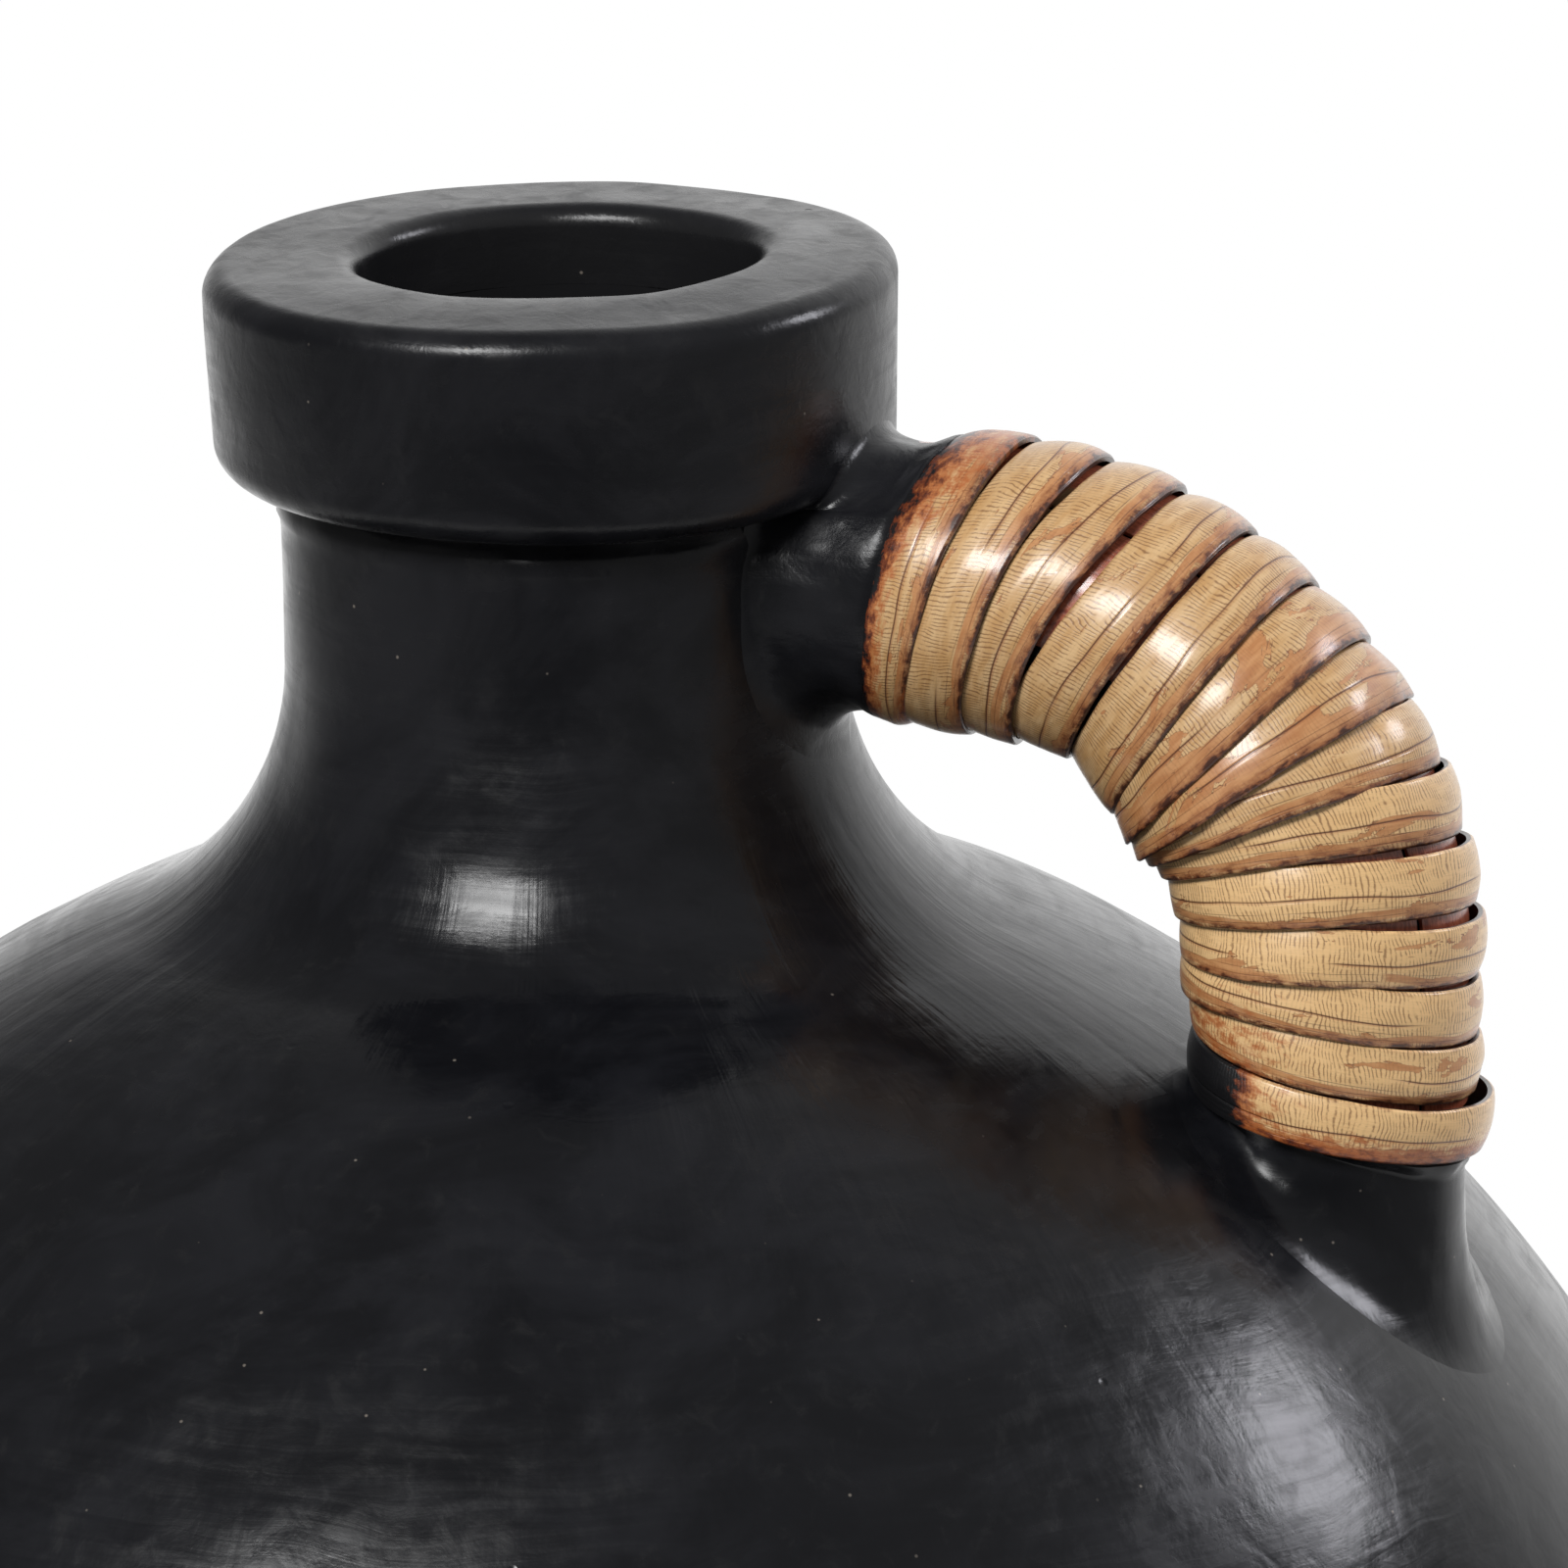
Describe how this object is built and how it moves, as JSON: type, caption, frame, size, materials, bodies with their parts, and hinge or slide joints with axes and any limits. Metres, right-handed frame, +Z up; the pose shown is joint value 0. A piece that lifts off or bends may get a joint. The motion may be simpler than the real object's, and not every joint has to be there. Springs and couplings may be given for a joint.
{
  "type": "clay jug",
  "caption": "Round black clay jug with a narrow neck, a thick flat-topped collar and one arched handle wrapped in lacquered rattan peel.",
  "frame": {"origin": "middle of the flat base, on the pot's axis", "axes": "+Z up along the pot's axis to the mouth, +X towards the handle"},
  "size_m": [0.416, 0.416, 0.48],
  "materials": {
    "black_clay": "burnished, satin",
    "rattan_peel": "lacquered, glossy",
    "rattan_lath": "stained and lacquered"
  },
  "bodies": {
    "root": {"base_disc": "black_clay", "lower_bowl": "black_clay", "shoulder_dome": "black_clay", "neck_tube": "black_clay", "rim_collar": "black_clay", "handle_core": "black_clay", "upper_handle_root": "black_clay", "lower_handle_root": "black_clay", "outer_lath": "rattan_lath", "front_lath": "rattan_lath", "back_lath": "rattan_lath", "upper_strip_turn_1": "rattan_peel", "upper_strip_turn_2": "rattan_peel", "upper_strip_turn_3": "rattan_peel", "upper_strip_turn_4": "rattan_peel", "upper_strip_turn_5": "rattan_peel", "lower_strip_turn_1": "rattan_peel", "lower_strip_turn_2": "rattan_peel", "lower_strip_turn_3": "rattan_peel", "lower_strip_turn_4": "rattan_peel", "lower_strip_turn_5": "rattan_peel", "lower_strip_turn_6": "rattan_peel", "lower_strip_turn_7": "rattan_peel", "lower_strip_turn_8": "rattan_peel", "lower_strip_turn_9": "rattan_peel"}
  },
  "joints": []
}
